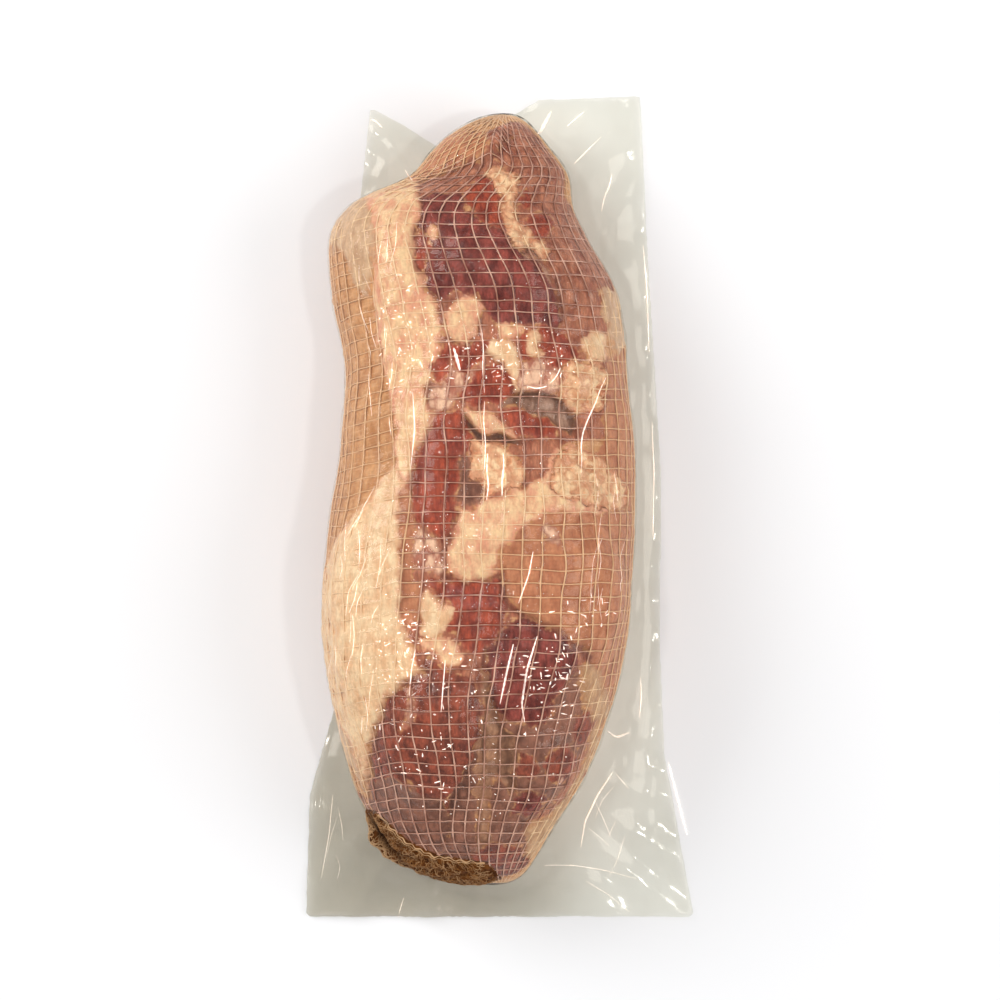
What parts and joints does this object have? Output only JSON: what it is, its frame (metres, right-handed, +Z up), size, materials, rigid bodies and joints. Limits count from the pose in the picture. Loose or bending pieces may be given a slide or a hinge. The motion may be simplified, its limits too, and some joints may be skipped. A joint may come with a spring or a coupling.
{
  "type": "netted smoked gammon joint in a vacuum bag",
  "caption": "Whole smoked gammon joint with rind, rolled in tight elastic netting and vacuum packed in a clear film bag, lying on its rind with the cut face up.",
  "frame": {"origin": "on the table, under the middle of the whole pack's bounding box", "axes": "+Z up from the table, +Y along the joint towards its narrow shank end, +X to the right seen from above with the shank end away"},
  "size_m": [0.198, 0.4186, 0.1088],
  "materials": {
    "smoked_meat": "moist smoked pork: dark red lean, cream and peach fat, tan rind; satin to glossy",
    "elastic_net": "thin knitted elastic meat net, pale pink when stretched, smoke-browned where gathered",
    "clear_film": "clear glossy vacuum film with creases and a faint grey haze"
  },
  "bodies": {
    "root": {"gammon_joint": "smoked_meat", "net_tail": "elastic_net", "vacuum_bag": "clear_film"}
  },
  "joints": []
}
